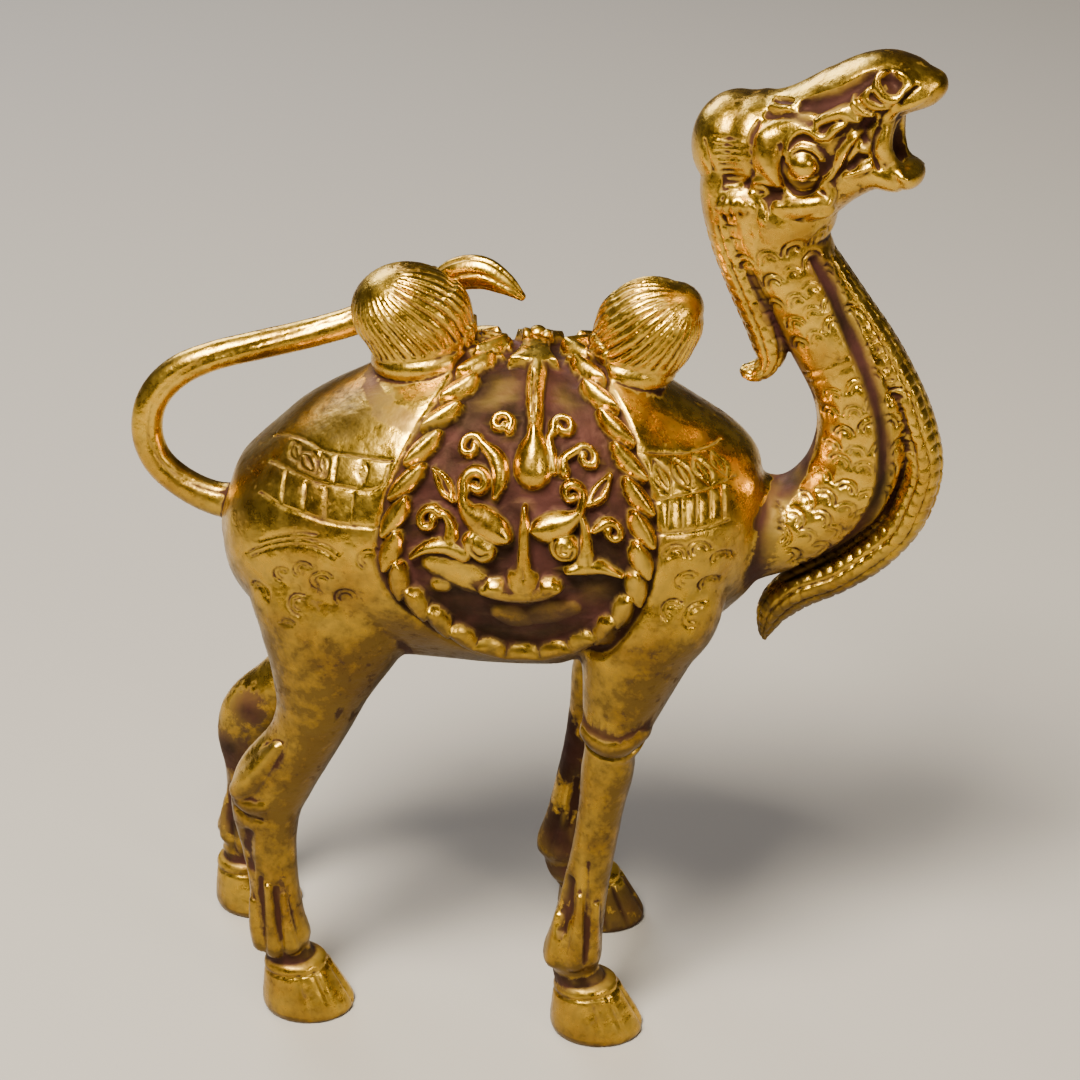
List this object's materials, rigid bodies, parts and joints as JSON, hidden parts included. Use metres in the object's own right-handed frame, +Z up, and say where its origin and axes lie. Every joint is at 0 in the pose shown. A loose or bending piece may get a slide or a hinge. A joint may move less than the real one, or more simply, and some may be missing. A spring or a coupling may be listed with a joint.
{
  "type": "camel figurine",
  "caption": "Cast gilt metal camel with two humps, head thrown back and mouth open, tail looped up to the rear hump, roped saddle cloth with a beast mask.",
  "frame": {"origin": "on the ground plane under the middle of the figure's bounding box", "axes": "+X the way the camel faces, +Y its left side, +Z up"},
  "size_m": [0.0712, 0.0282, 0.0909],
  "materials": {
    "gilt_bronze": "polished gilt casting with dark purple-brown patina in the recesses"
  },
  "bodies": {
    "root": {"camel": "gilt_bronze"}
  },
  "joints": []
}
